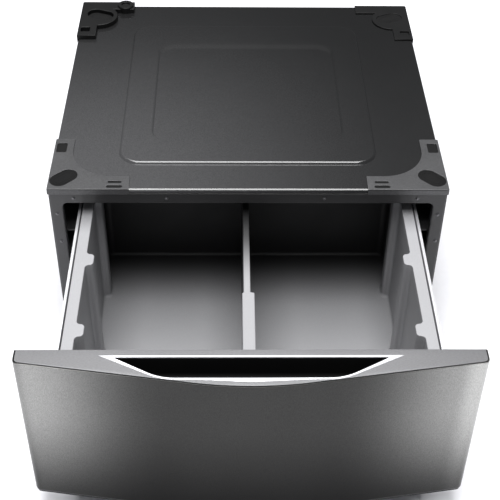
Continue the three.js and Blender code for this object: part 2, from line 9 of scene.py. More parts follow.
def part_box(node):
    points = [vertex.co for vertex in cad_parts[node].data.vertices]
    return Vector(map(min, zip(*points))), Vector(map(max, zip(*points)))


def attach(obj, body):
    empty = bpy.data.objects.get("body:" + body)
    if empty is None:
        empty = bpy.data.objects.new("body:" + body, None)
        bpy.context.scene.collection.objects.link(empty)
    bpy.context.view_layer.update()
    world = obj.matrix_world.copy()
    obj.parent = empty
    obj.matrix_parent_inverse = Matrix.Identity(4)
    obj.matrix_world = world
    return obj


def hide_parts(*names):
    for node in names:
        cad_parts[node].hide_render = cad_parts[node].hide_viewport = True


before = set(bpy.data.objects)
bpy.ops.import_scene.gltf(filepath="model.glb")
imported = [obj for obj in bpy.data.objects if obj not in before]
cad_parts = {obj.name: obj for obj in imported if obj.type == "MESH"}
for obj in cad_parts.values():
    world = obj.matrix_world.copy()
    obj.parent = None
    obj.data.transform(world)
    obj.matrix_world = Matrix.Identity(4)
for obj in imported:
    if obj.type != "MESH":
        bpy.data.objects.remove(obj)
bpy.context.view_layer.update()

# A laundry pedestal with its storage drawer pulled out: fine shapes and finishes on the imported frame.
# Lengths in this file are millimetres, and MM turns them into metres. Every piece is made with the
# drawer shut and the cabinet's front face at y = 0, and SHIFT moves it to where its body rests.
MM = 0.001
GAP = 0.3  # clearance between neighbouring pieces
SHEET = 1.2  # thickness of the steel sheet
HALF_WIDTH = 343  # over the corner brackets and the drawer front
CABINET_HALF = 341.5
DEPTH = 630  # of the cabinet
TOP = 345  # height of the brackets' upper faces
BRACKET = 2.2  # thickness of the brackets
BRACKET_LOW = TOP - BRACKET
DECK_TOP = 342.5
DECK_EDGE = 4.5  # radius of the deck's rim
DECK_SKIRT = 12  # depth of the rim at the sides and back
FRONT_SKIRT = 6.5  # depth of the rim over the front frame
BASE_Z = 24
FRONT_GAP = 4  # between the cabinet and the shut drawer front
SIDES = (("right", 1), ("left", -1))
FLAT_FACE_WEIGHT = 60  # how far big flat faces rule the shading of their rounded edges
SHARP, SOFT_SHARP = 35, 50  # degrees at which an edge is drawn sharp

CABINET_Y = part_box("top_deck")[0].y / MM
DRAWER_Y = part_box("front_top_cap")[1].y / MM + FRONT_GAP
TRAVEL = CABINET_Y - DRAWER_Y
SHIFT = {"cabinet": CABINET_Y, "drawer": DRAWER_Y}
for side, _ in SIDES:
    SHIFT["middle_" + side] = CABINET_Y - TRAVEL / 2
    SHIFT["outer_cage_" + side] = CABINET_Y - TRAVEL / 4
    SHIFT["inner_cage_" + side] = CABINET_Y - TRAVEL * 3 / 4
    SHIFT["release_lever_" + side] = DRAWER_Y
    for end in ("front", "rear"):
        SHIFT[f"levelling_foot_{end}_{side}"] = CABINET_Y


# ---- Mesh helpers ----

def link(name, data):
    piece = bpy.data.objects.new(name, data)
    bpy.context.scene.collection.objects.link(piece)
    return piece


def make(name, bm, material, body, replaces=(), mirror=1, sharp=SHARP):
    """A piece from a closed mesh in millimetres. mirror is -1 for the left hand copy."""
    for vert in bm.verts:
        vert.co = Vector((vert.co.x * mirror, vert.co.y + SHIFT[body], vert.co.z)) * MM
    bmesh.ops.recalc_face_normals(bm, faces=bm.faces)
    mesh = bpy.data.meshes.new(name)
    bm.to_mesh(mesh)
    bm.free()
    mesh.shade_smooth()
    mesh.set_sharp_from_angle(angle=math.radians(sharp))
    mesh.materials.append(material)
    piece = link(name, mesh)
    normals = piece.modifiers.new("normals", "WEIGHTED_NORMAL")
    normals.keep_sharp = True
    normals.weight = FLAT_FACE_WEIGHT
    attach(piece, body)
    if replaces:
        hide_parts(*replaces)
    return piece


LEAST_RADIUS = 0.05
MITRE_LIMIT = 0.35  # keeps the offset of a very sharp corner short


def arc(x, y, radius, start, end, steps=6):
    """Points on an arc, with angles in degrees."""
    turns = [math.radians(start + (end - start) * i / steps) for i in range(steps + 1)]
    return [(x + radius * math.cos(a), y + radius * math.sin(a)) for a in turns]


def rounded_rect(x0, x1, y0, y1, radius, steps=6):
    """A rectangle with round corners, anticlockwise from its lower right corner."""
    r = max(radius, LEAST_RADIUS)
    return (arc(x1 - r, y0 + r, r, -90, 0, steps) + arc(x1 - r, y1 - r, r, 0, 90, steps)
            + arc(x0 + r, y1 - r, r, 90, 180, steps) + arc(x0 + r, y0 + r, r, 180, 270, steps))


def capsule(x0, y0, x1, y1, radius, steps=12):
    """A slot outline between two centres."""
    along = math.degrees(math.atan2(y1 - y0, x1 - x0))
    return (arc(x1, y1, radius, along - 90, along + 90, steps)
            + arc(x0, y0, radius, along + 90, along + 270, steps))


def shifted(points, inset):
    """A closed outline moved to its left hand side, which is inwards when it runs anticlockwise."""
    result = []
    for i, point in enumerate(points):
        here = Vector(point)
        before = (here - Vector(points[i - 1])).normalized()
        after = (Vector(points[(i + 1) % len(points)]) - here).normalized()
        normal = Vector((-before.y - after.y, before.x + after.x)).normalized()
        stretch = max(MITRE_LIMIT, normal.dot(Vector((-before.y, before.x))))
        moved = here + normal * (inset / stretch)
        result.append((moved.x, moved.y))
    return result


def add_rows(bm, loops, closed=False):
    """Faces between loops of equal length. closed joins the last loop to the first one."""
    rows = [[bm.verts.new(point) for point in loop] for loop in loops]
    pairs = list(zip(rows, rows[1:])) + ([(rows[-1], rows[0])] if closed else [])
    for low, high in pairs:
        for i in range(len(low)):
            j = (i + 1) % len(low)
            bm.faces.new((low[i], low[j], high[j], high[i]))
    return rows


def stack(loops, closed=False):
    """A solid from loops stacked on each other, capped at both ends unless it is closed."""
    bm = bmesh.new()
    rows = add_rows(bm, loops, closed)
    if not closed:
        bm.faces.new(rows[0][::-1])
        bm.faces.new(rows[-1])
    return bm


def lofted(outline, levels, closed=False):
    """A solid from outline(inset) at each (inset, z) level."""
    return stack([[(x, y, z) for x, y in outline(inset)] for inset, z in levels], closed)


def rounded_levels(z0, z1, radius, steps=3, low_radius=None):
    """Levels of a slab whose lower and upper edges are round."""
    low = radius if low_radius is None else low_radius
    bottom = [(low - low * math.sin(math.radians(90 * i / steps)),
               z0 + low - low * math.cos(math.radians(90 * i / steps))) for i in range(steps + 1)]
    top = [(radius - radius * math.cos(math.radians(90 * i / steps)),
            z1 - radius + radius * math.sin(math.radians(90 * i / steps))) for i in range(steps + 1)]
    return bottom + top


def plate(outline, holes, levels, hole_levels=None):
    """A slab with holes. The outline runs anticlockwise, and so do the holes as given."""
    bm = bmesh.new()
    walls = [(outline, levels)] + [(hole[::-1], hole_levels or levels) for hole in holes]
    ends = ([], [])
    for loop, insets in walls:
        rows = add_rows(bm, [[(x, y, z) for x, y in shifted(loop, inset)] for inset, z in insets])
        ends[0].append(rows[0])
        ends[1].append(rows[-1])
    for rows in ends:
        flat = [vert for row in rows for vert in row]
        for triangle in tessellate_polygon([[vert.co for vert in row] for row in rows]):
            bm.faces.new([flat[i] for i in triangle])
    return bm


def merged(*parts):
    """Several meshes as one."""
    result = parts[0]
    for part in parts[1:]:
        mesh = bpy.data.meshes.new("part")
        part.to_mesh(mesh)
        part.free()
        result.from_mesh(mesh)
        bpy.data.meshes.remove(mesh)
    return result


def turned(bm, matrix):
    bmesh.ops.transform(bm, matrix=matrix, verts=bm.verts)
    return bm


def upright(bm):
    """A mesh drawn in X and Y as X and Z: what was up now faces the front, -Y."""
    return turned(bm, Matrix(((1, 0, 0, 0), (0, 0, -1, 0), (0, 1, 0, 0), (0, 0, 0, 1))))


def sideways(bm):
    """A mesh drawn in X and Y as Y and Z: what was up now faces the right, +X."""
    return turned(bm, Matrix(((0, 0, 1, 0), (1, 0, 0, 0), (0, 1, 0, 0), (0, 0, 0, 1))))


def rounded_path(points, radius, steps=4):
    """An open path with its corners rounded."""
    result = [Vector(points[0])]
    for before, corner, after in zip(points, points[1:], points[2:]):
        here = Vector(corner)
        start = here + (Vector(before) - here).normalized() * radius
        end = here + (Vector(after) - here).normalized() * radius
        for i in range(steps + 1):
            t = i / steps
            result.append(start * (1 - t) ** 2 + here * (2 * t * (1 - t)) + end * t ** 2)
    return result + [Vector(points[-1])]


def folded_sheet(points, thickness, y0, y1, radius=1.5):
    """Sheet steel folded along an (x, z) path and run along Y. The path is its left hand face."""
    path = rounded_path(points, radius)
    far = []
    for i, here in enumerate(path):
        before = (here - path[i - 1]).normalized() if i else (path[1] - here).normalized()
        after = (path[i + 1] - here).normalized() if i + 1 < len(path) else before
        normal = Vector((before.y + after.y, -before.x - after.x)).normalized()
        stretch = max(MITRE_LIMIT, normal.dot(Vector((before.y, -before.x))))
        far.append(here + normal * (thickness / stretch))
    bm = bmesh.new()
    rows = [[[bm.verts.new((p.x, y, p.y)) for p in side] for side in (path, far)] for y in (y0, y1)]
    (near0, far0), (near1, far1) = rows
    for i in range(len(path) - 1):
        j = i + 1
        bm.faces.new((near0[i], near0[j], near1[j], near1[i]))
        bm.faces.new((far0[j], far0[i], far1[i], far1[j]))
        bm.faces.new((near0[j], near0[i], far0[i], far0[j]))
        bm.faces.new((near1[i], near1[j], far1[j], far1[i]))
    for i in (0, -1):
        bm.faces.new((near0[i], near1[i], far1[i], far0[i]))
    return bm


def lathe(profile, segments=28):
    """A solid of revolution about Z from (radius, z) points that start and end off the axis."""
    ring = [2 * math.pi * i / segments for i in range(segments)]
    return stack([[(r * math.cos(a), r * math.sin(a), z) for a in ring] for r, z in profile])


def placed(bm, x, y, z):
    """A mesh moved by (x, y, z)."""
    return turned(bm, Matrix.Translation((x, y, z)))


def screw_head(size):
    """A hex washer head screw, standing on z = 0."""
    washer = lathe([(size * 1.25, 0), (size * 1.25, size * 0.16), (size, size * 0.3)], 24)
    flats = [(size * 0.86, size * 0.31), (size * 0.86, size * 0.8), (size * 0.74, size * 0.95),
             (size * 0.3, size)]
    return merged(washer, lathe(flats, 6))


def rivet_head():
    """A low dome rivet, standing on z = 0."""
    return lathe([(3.6, 0), (3.6, 0.3), (3, 0.8), (1.8, 1.1), (0.6, 1.2)], 20)


TO_FRONT = Matrix.Rotation(math.pi / 2, 4, "X")
TO_BACK = Matrix.Rotation(-math.pi / 2, 4, "X")
TO_RIGHT = Matrix.Rotation(math.pi / 2, 4, "Y")


def screws(places, facing, size):
    """Screw heads of one size as one mesh."""
    return merged(*[placed(turned(screw_head(size), facing), *place) for place in places])


# ---- Materials ----

COAT_ROUGHNESS = 0.12
GLOSS_SCALE, GLOSS_CHANGE = 25, 0.07  # patches of slightly duller and brighter gloss
GAMMA = 2.2


def shader(name, roughness, metallic, specular, coat, coat_ior):
    """A new material and its Principled node, with the values that are the same all over."""
    material = bpy.data.materials.new(name)
    material.use_nodes = True
    nodes = material.node_tree.nodes
    bsdf = nodes.get("Principled BSDF")
    bsdf.inputs["Metallic"].default_value = metallic
    bsdf.inputs["Roughness"].default_value = roughness
    bsdf.inputs["Specular IOR Level"].default_value = specular
    bsdf.inputs["Coat Weight"].default_value = coat
    bsdf.inputs["Coat Roughness"].default_value = COAT_ROUGHNESS
    bsdf.inputs["Coat IOR"].default_value = coat_ior
    return material, bsdf


class Graph:
    """Short names for the few nodes that every finish here uses."""

    def __init__(self, material):
        self.nodes = material.node_tree.nodes
        self.links = material.node_tree.links
        self.place = self.nodes.new("ShaderNodeTexCoord").outputs["Object"]

    def link(self, source, target):
        self.links.new(source, target)

    def noise(self, scale, stretch=(1, 1, 1), detail=3.0):
        mapping = self.nodes.new("ShaderNodeMapping")
        mapping.inputs["Scale"].default_value = stretch
        self.link(self.place, mapping.inputs["Vector"])
        noise = self.nodes.new("ShaderNodeTexNoise")
        noise.inputs["Scale"].default_value = scale
        noise.inputs["Detail"].default_value = detail
        self.link(mapping.outputs["Vector"], noise.inputs["Vector"])
        return noise.outputs["Fac"]

    def ranged(self, value, low, high, start=0.3, end=0.7):
        """A smooth change from low to high while value goes from start to end."""
        node = self.nodes.new("ShaderNodeMapRange")
        node.interpolation_type = "SMOOTHSTEP"
        for socket, number in (("From Min", start), ("From Max", end), ("To Min", low), ("To Max", high)):
            node.inputs[socket].default_value = number
        self.link(value, node.inputs["Value"])
        return node.outputs["Result"]

    def times(self, first, second):
        node = self.nodes.new("ShaderNodeMath")
        node.operation = "MULTIPLY"
        self.link(first, node.inputs[0])
        self.link(second, node.inputs[1])
        return node.outputs["Value"]

    def tinted(self, color, factor):
        """A colour made lighter or darker by a varying factor."""
        node = self.nodes.new("ShaderNodeVectorMath")
        node.operation = "SCALE"
        node.inputs[0].default_value = color
        self.link(factor, node.inputs["Scale"])
        return node.outputs["Vector"]

    def axis(self, letter):
        node = self.nodes.new("ShaderNodeSeparateXYZ")
        self.link(self.place, node.inputs[0])
        return node.outputs[letter]

    def bumps(self, bsdf, height, strength, distance):
        node = self.nodes.new("ShaderNodeBump")
        node.inputs["Strength"].default_value = strength
        node.inputs["Distance"].default_value = distance
        self.link(height, node.inputs["Height"])
        self.link(node.outputs["Normal"], bsdf.inputs["Normal"])


def grey(value, warm=0.0):
    """A near neutral colour from a display level between 0 and 255. A negative warm is bluish."""
    level = (value / 255) ** GAMMA
    return (level * (1 + warm), level * (1 + warm), level * (1 - 2 * warm))


def finish(name, level, roughness, metallic=0.0, grain=(1200, 0.12), mottle=(9, 0.08),
           stretch=(1, 1, 1), bump=(0.15, 0.00006), specular=0.5, coat=0.0, coat_ior=1.5, warm=-0.012,
           shade=None):
    """Paint, plastic, rubber or metal: fine grain, broad mottling, uneven gloss and a fine bump.

    grain and mottle are (noise scale, depth), bump is (strength, distance in metres), and
    shade(graph) may return a further factor of painted light and shade that varies over the object.
    """
    material, bsdf = shader(name, roughness, metallic, specular, coat, coat_ior)
    graph = Graph(material)
    fine = graph.noise(grain[0], stretch)
    broad = graph.noise(mottle[0])
    factor = graph.times(graph.ranged(fine, 1 - grain[1], 1 + grain[1]),
                         graph.ranged(broad, 1 - mottle[1], 1 + mottle[1]))
    if shade:
        factor = graph.times(factor, shade(graph))
    graph.link(graph.tinted(grey(level, warm), factor), bsdf.inputs["Base Color"])
    dull, bright = min(1, roughness * (1 + GLOSS_CHANGE)), roughness * (1 - GLOSS_CHANGE)
    graph.link(graph.ranged(graph.noise(GLOSS_SCALE), bright, dull, 0.2, 0.8), bsdf.inputs["Roughness"])
    graph.bumps(bsdf, fine, *bump)
    return material


def rail_painted_shade(graph):
    """Painted reflection and shade: the front frame's colour is lighter near the rail's ends and darker
    towards its middle and to the right.
    """
    x = graph.axis("X")
    return graph.times(graph.ranged(graph.times(x, x), 0.45, 0.85, 0.005, 0.11),
                       graph.ranged(x, 1, 0.5, 0.25, 0.34))


def deck_painted_shade(graph):
    """Painted shade: the deck's colour is made darker to the rear and to the right."""
    return graph.times(graph.ranged(graph.axis("Y"), 1.15, 0.16, -0.1, 0.56),
                       graph.ranged(graph.axis("X"), 1.75, 0.3, -0.3, 0.3))


def tub_painted_shade(graph):
    """Painted shade: the tub's inside is coloured darker than its rim, and darkest at the rear, under the
    deck.
    """
    return graph.times(graph.ranged(graph.axis("Z"), 0.85, 1, 0.27, 0.2835),
                       graph.ranged(graph.axis("Y"), 1, 0.06, -0.09, 0.06))


def divider_painted_shadow(graph):
    """Painted shadow: the divider is coloured darker towards the back of the drawer, under the deck."""
    return graph.ranged(graph.axis("Y"), 1, 0.05, -0.27, -0.13)


def front_painted_reflection(graph):
    """Painted reflection and shade: the brushed front is coloured lighter towards its two ends and darker
    low down.
    """
    x = graph.axis("X")
    across = graph.times(graph.ranged(graph.times(x, x), 0.9, 6.2, 0.013, 0.105),
                         graph.times(graph.ranged(x, 0.75, 1, -0.342, -0.325),
                                     graph.ranged(x, 1, 1.5, 0.3, 0.33)))
    return graph.times(across, graph.ranged(graph.axis("Z"), 0.12, 1, 0.02, 0.26))


# The deck, front frame, tub, divider and drawer front carry painted light and shade through their shade
# functions.
DECK_PAINT = finish("deck_paint", 54, 0.34, grain=(1000, 0.28), mottle=(5, 0.02), specular=0.1,
                    coat=0.85, coat_ior=1.85, shade=deck_painted_shade)
FRAME_PAINT = finish("frame_paint", 56, 0.36, grain=(1100, 0.2), coat=0.2, shade=rail_painted_shade)
BODY_PAINT = finish("body_paint", 56, 0.36, grain=(1100, 0.15), mottle=(5, 0.03), coat=0.3)
BRACKET_PAINT = finish("bracket_paint", 77, 0.36, 0.2, grain=(900, 0.28), mottle=(12, 0.06), coat=0.3)
DARK_BRACKET = finish("dark_bracket", 26, 0.45, 0.1, grain=(900, 0.2), specular=0.25)
BLACK_PLASTIC = finish("black_plastic", 20, 0.5, grain=(1500, 0.2), bump=(0.3, 0.0001), specular=0.25)
RUBBER = finish("rubber", 26, 0.85, grain=(700, 0.25), bump=(0.4, 0.0002), specular=0.2)
ZINC = finish("zinc", 215, 0.36, 0.55, grain=(520, 0.05), mottle=(20, 0.015),
              stretch=(1, 0.3, 1), bump=(0.06, 0.00003))
CAGE_STEEL = finish("cage_steel", 170, 0.35, 0.95, grain=(400, 0.12), stretch=(1, 0.2, 1))
SCREW_STEEL = finish("screw_steel", 105, 0.35, 0.9, grain=(900, 0.2))
TUB = finish("tub_plastic", 160, 0.5, grain=(1300, 0.07), mottle=(5, 0.02), bump=(0.25, 0.00008),
             shade=tub_painted_shade)
DIVIDER = finish("divider_plastic", 158, 0.5, grain=(1300, 0.07), mottle=(5, 0.02),
                 bump=(0.25, 0.00008), shade=divider_painted_shadow)
GRAPHITE = finish("graphite", 64, 0.34, 0.95, grain=(1400, 0.18), mottle=(4, 0.04), specular=0.1,
                  stretch=(1, 1, 0.25), warm=0.012, shade=front_painted_reflection)
CAP_SILVER = finish("cap_silver", 112, 0.36, 0.35, grain=(1300, 0.1), mottle=(5, 0.02),
                    stretch=(0.2, 1, 1))
BRIGHT_TRIM = finish("bright_trim", 245, 0.16, 0.2, grain=(500, 0.03), mottle=(5, 0.02),
                     stretch=(0.1, 1, 1), bump=(0.05, 0.00003))
POCKET_BLACK = finish("pocket_black", 20, 0.6, grain=(1500, 0.25), bump=(0.3, 0.0001), specular=0.2)

# ---- Cabinet ----

# The raised ring of the deck: its outer foot, the widths of its front and of its other bands, and how
# many times wider its rear inner slope is than the others.
RING = {"half": 228, "front": 71, "back": 543, "radius": 36, "width": 68, "side": 58, "rise": 4,
        "slope": 6, "rear_ease": 8, "tighten": 0.4}
RING_STEP = {"radius": 4, "steep": math.radians(50)}
DECK_CORNER = 8
FRONT_STRIP = 16  # the part of the rim that belongs to the front skirt


def deck_rect(inset):
    return rounded_rect(-CABINET_HALF + inset, CABINET_HALF - inset, inset, DEPTH - inset,
                        DECK_CORNER - min(inset, DECK_CORNER - 1), 8)


def deck_loop(inset, z, front_z=None):
    """A loop of the deck's rim; its front part may lie at another height."""
    front_z = z if front_z is None else front_z
    return [(x, y, front_z if y < FRONT_STRIP else z) for x, y in deck_rect(inset)]


def ring_loop(grow_in, z):
    """A loop round the raised ring. grow_in is 0 at the ring's outer foot."""
    r = RING
    return [(x, y, z) for x, y in rounded_rect(-r["half"] + grow_in, r["half"] - grow_in,
                                               r["front"] + grow_in, r["back"] - grow_in,
                                               r["radius"] - grow_in * r["tighten"], 8)]


def ring_inner_loop(shrink, z):
    """A loop round the sunk middle of the ring. shrink is 0 at the top of its slope."""
    r = RING
    rear = shrink * r["rear_ease"]
    half = r["half"] - r["side"] + r["slope"]
    front, back = r["front"] + r["width"] - r["slope"], r["back"] - r["side"] + r["slope"]
    return [(x, y, z) for x, y in rounded_rect(-half + shrink, half - shrink, front + shrink,
                                               back - rear, r["radius"] - shrink * r["tighten"], 8)]


def pressed_step(steps=6):
    """A pressed step as (distance, height) points: a sharp foot, a straight riser and a round top."""
    radius, steep, rise = RING_STEP["radius"], RING_STEP["steep"], RING["rise"]
    riser = rise - radius * (1 - math.cos(steep))
    foot = riser / math.tan(steep)
    points = [(0, 0), (foot / 2, riser / 2)]
    for i in range(steps + 1):
        a = steep * (1 - i / steps)
        across = foot + radius * (math.sin(steep) - math.sin(a))
        points.append((across, rise - radius * (1 - math.cos(a))))
    return points


def deck():
    """The pressed deck: its rim all round, the raised ring and the same sheet seen from below."""
    rim = [(DECK_EDGE - x, z - DECK_EDGE) for x, z in arc(0, 0, DECK_EDGE, 0, 90)]
    top = [deck_loop(inset, DECK_TOP + z) for inset, z in rim]
    step = pressed_step()
    up = [ring_loop(across, DECK_TOP + height) for across, height in step]
    down = [ring_inner_loop(step[-1][0] - across, DECK_TOP + height) for across, height in step[::-1]]
    skirt, front_skirt = DECK_TOP - DECK_SKIRT, DECK_TOP - FRONT_SKIRT
    outside = [deck_loop(0, skirt, front_skirt)] + top + up + down
    inside = [[(x, y, z - SHEET) for x, y, z in loop] for loop in up + down]
    under = [deck_loop(SHEET, skirt, front_skirt), deck_loop(SHEET, DECK_TOP - DECK_EDGE),
             deck_loop(DECK_EDGE, DECK_TOP - SHEET)]
    bm = bmesh.new()
    rows = add_rows(bm, inside[::-1] + under[::-1] + outside)
    bm.faces.new(rows[0][::-1])
    bm.faces.new(rows[-1])
    return bm


MOUTH = {"half": 319, "floor": 46, "rail": 313, "radius": 10}
FRAME_DEPTH, FRAME_FOLD, FRAME_INSET = 14, 2.2, 1.5


def front_frame():
    """The pressed frame round the drawer mouth, with folded flanges outside and inside."""
    top = DECK_TOP - FRONT_SKIRT - GAP
    depth, fold, side = FRAME_DEPTH, FRAME_FOLD, FRAME_INSET

    def outer(inset, y):
        return [(x, y, z) for x, z in rounded_rect(-CABINET_HALF + inset, CABINET_HALF - inset,
                                                   BASE_Z + inset, top - inset, 3, 6)]

    def mouth(inset, y):
        half, low, high = MOUTH["half"] + inset, MOUTH["floor"] - inset, MOUTH["rail"] + inset
        return [(x, y, z) for x, z in rounded_rect(-half, half, low, high, MOUTH["radius"] + inset, 6)]

    bend = (0.4, 0.8, 1.2, math.pi / 2)
    loops = [outer(side, depth), outer(side, fold)]
    loops += [outer(side + fold - fold * math.cos(a), fold - fold * math.sin(a)) for a in bend]
    loops += [mouth(fold - fold * math.sin(a), fold - fold * math.cos(a)) for a in (0,) + bend]
    loops += [mouth(0, depth), mouth(SHEET, depth), mouth(SHEET, fold + 1), mouth(fold + 1, SHEET)]
    loops += [outer(fold + 3, SHEET), outer(side + SHEET, fold + 1), outer(side + SHEET, depth)]
    return stack(loops, closed=True)


def panel_with_swage(width, height, border, rise):
    """A flat panel with a pressed field that stands proud by rise, or is sunk when rise is negative."""
    half, tall = width / 2, height / 2

    def rect(inset, radius):
        return rounded_rect(-half + inset, half - inset, -tall + inset, tall - inset, radius, 5)

    outside = [(0, 0), (0, SHEET - 0.3), (0.3, SHEET), (border, SHEET), (border + 2, SHEET + rise * 0.3),
               (border + 5, SHEET + rise * 0.8), (border + 8, SHEET + rise)]
    loops = [[(x, y, z) for x, y in rect(inset, 2 + inset * 0.35)] for inset, z in outside]
    inner = [[(x, y, z - SHEET) for x, y, z in loop] for loop in loops[3:]]
    bm = bmesh.new()
    rows = add_rows(bm, inner[::-1] + loops)
    bm.faces.new(rows[0][::-1])
    bm.faces.new(rows[-1])
    return bm


make("deck_panel", deck(), DECK_PAINT, "cabinet", ["top_deck"])
make("front_frame_pressing", front_frame(), FRAME_PAINT, "cabinet", ["front_frame"])

PANEL_HEIGHT = DECK_TOP - DECK_SKIRT - GAP - BASE_Z
PANEL_MID = BASE_Z + PANEL_HEIGHT / 2
SIDE_BORDER, BACK_BORDER = 34, 46
SIDE_RISE, BACK_RISE = 1.1, -3
for side, sign in SIDES:
    width = DEPTH - 2 * SHEET - 2 * GAP
    bm = sideways(panel_with_swage(width, PANEL_HEIGHT, SIDE_BORDER, SIDE_RISE))
    placed(bm, CABINET_HALF - SHEET, DEPTH / 2, PANEL_MID)
    make("side_skin_" + side, bm, BODY_PAINT, "cabinet", ["side_panel_" + side], sign)
bm = turned(upright(panel_with_swage(2 * CABINET_HALF, PANEL_HEIGHT, BACK_BORDER, BACK_RISE)),
            Matrix.Rotation(math.pi, 4, "Z"))
make("back_cover", placed(bm, 0, DEPTH - SHEET, PANEL_MID), BODY_PAINT, "cabinet",
     ["back_panel"])

# Corner brackets. A pocket is the two centres and the radius of its slot.
POCKET = (311, 37, 324, 24, 17)
REAR_DISC = (306, DEPTH - 57, 40)
REAR_POCKET = (292, REAR_DISC[1], 312, REAR_DISC[1] + 8, 17)
BRACKET_SLOTS = ((220, 19, 238, 19, 3), (219, 6.5, 239, 6.5, 3.6))
BRACKET_HOLE = (321, 339, 104, 131, 3)
TALL_BRACKET = 9  # height of the moulded bracket at the left rear
FRONT_PLATE = {"inner": 204, "front": -1.5, "back": 144, "arm_x": 309, "arm_y": 36, "sweep": 75,
               "corner": 3}
REAR_PLATE = {"inner": 234, "front": DEPTH - 138, "arm_x": 305, "arm_y": DEPTH - 31, "corner": 4}


def bracket_skirt(start, end, top):
    """A turned-down edge, drawn flat and standing up from z = 0."""
    outline = rounded_rect(start, end, TOP - DECK_SKIRT, top, 1.5, 2)
    return plate(outline, [], rounded_levels(0, SHEET, 0.4, 2))


def front_bracket():
    f = FRONT_PLATE
    corner, sweep = f["corner"], f["sweep"]
    right = HALF_WIDTH - corner
    outline = [(f["inner"], f["front"]), (right, f["front"])]
    outline += arc(right, f["front"] + corner, corner, -90, 0, 3)[1:] + [(HALF_WIDTH, f["back"] - 2)]
    outline += arc(right, f["back"] - corner, corner, 0, 90, 3)[1:]
    outline += arc(f["arm_x"] + corner, f["back"] - corner, corner, 90, 180, 3)
    outline += arc(f["arm_x"] - sweep, f["arm_y"] + sweep, sweep, 0, -90, 14)
    outline += arc(f["inner"] + 2, f["arm_y"] - 2, 2, 90, 180, 3)
    holes = [capsule(*POCKET), rounded_rect(*BRACKET_HOLE)] + [capsule(*slot) for slot in BRACKET_SLOTS]
    body = plate(outline, holes, rounded_levels(BRACKET_LOW, TOP, 0.5, 2))
    front = placed(upright(bracket_skirt(f["inner"], HALF_WIDTH, TOP - 0.4)), 0, -GAP, 0)
    side = placed(sideways(bracket_skirt(-SHEET, f["back"], TOP - 0.4)), HALF_WIDTH - SHEET, 0, 0)
    return merged(body, front, side)


def rear_bracket(height):
    """An L-shaped plate of this height with a round pad over its corner."""
    r = REAR_PLATE
    high, corner = BRACKET_LOW + height, r["corner"]
    x, y, radius = REAR_DISC
    outline = [(HALF_WIDTH, r["front"]), (HALF_WIDTH, DEPTH - corner)]
    outline += arc(HALF_WIDTH - corner, DEPTH - corner, corner, 0, 90, 4)[1:]
    outline += [(r["inner"], DEPTH), (r["inner"], r["arm_y"])]
    start = math.degrees(math.asin((r["arm_y"] - y) / radius))
    end = math.degrees(math.acos((r["arm_x"] - x) / radius))
    outline += arc(x, y, radius, 180 - start, 360 - end, 16) + [(r["arm_x"], r["front"])]
    holes = [capsule(*REAR_POCKET), rounded_rect(319, 337, DEPTH - 122, DEPTH - 105, 3)]
    body = plate(outline, holes, rounded_levels(BRACKET_LOW, high, min(1.6, height / 3), 3, 0.4))
    skirt = sideways(bracket_skirt(r["front"], DEPTH, high - 0.6))
    return merged(body, placed(skirt, HALF_WIDTH - SHEET, 0, 0))


def boss():
    """The round locating boss with a sunk middle on the left rear bracket."""
    profile = [(17, BRACKET_LOW), (17, TOP + 9.2), (15.6, TOP + 10.8), (9.5, TOP + 10.8),
               (8.6, TOP + 10.0), (8.2, TOP + 7.5), (2.5, TOP + 7.2)]
    return placed(lathe(profile, 32), 252, DEPTH - 17, 0)


def foot_pad(pocket):
    """A rubber pad with moulded ridges in the washer's foot pocket."""
    x0, y0, x1, y1, radius = pocket
    high, groove = BRACKET_LOW + 1.2, BRACKET_LOW + 0.8
    levels = [(0, BRACKET_LOW), (0, groove), (0.4, high), (3.0, high), (3.4, groove), (4.6, groove),
              (5.0, high), (7.0, high), (7.4, groove), (9.0, groove), (9.4, high)]
    return lofted(lambda inset: capsule(x0, y0, x1, y1, radius - GAP - inset), levels)


for side, sign in SIDES:
    make("bracket_front_" + side, front_bracket(), BRACKET_PAINT, "cabinet",
         ["corner_bracket_front_" + side], sign)
    make("foot_pad_front_" + side, foot_pad(POCKET), RUBBER, "cabinet",
         ["washer_foot_pad_front_" + side], sign)
    make("foot_pad_rear_" + side, foot_pad(REAR_POCKET), RUBBER, "cabinet",
         ["washer_foot_pad_rear_" + side], sign)
make("bracket_rear_right", rear_bracket(BRACKET), DARK_BRACKET, "cabinet",
     ["corner_bracket_rear_right"])
make("bracket_rear_left", merged(rear_bracket(TALL_BRACKET), boss()), BLACK_PLASTIC, "cabinet",
     ["corner_bracket_rear_left"], -1)

PLUG_TOP, PLUG_CLEARANCE = TOP - 1.6, 0.2


def bracket_slot_shadows():
    """Black plugs that close the slots and the hole of a front bracket: a painted shadow standing in for
    the shade inside those holes.
    """
    x0, x1, y0, y1, corner = BRACKET_HOLE
    c = PLUG_CLEARANCE
    outlines = [capsule(*ends, radius - c) for *ends, radius in BRACKET_SLOTS]
    outlines += [rounded_rect(x0 + c, x1 - c, y0 + c, y1 - c, corner - c)]
    levels = rounded_levels(BRACKET_LOW, PLUG_TOP, 0.2, 2)
    return merged(*[plate(outline, [], levels) for outline in outlines])


# Black inserts in the front brackets' slots and holes, as painted shadow.
for side, sign in SIDES:
    make("bracket_slot_shadows_" + side, bracket_slot_shadows(), POCKET_BLACK, "cabinet", (), sign)

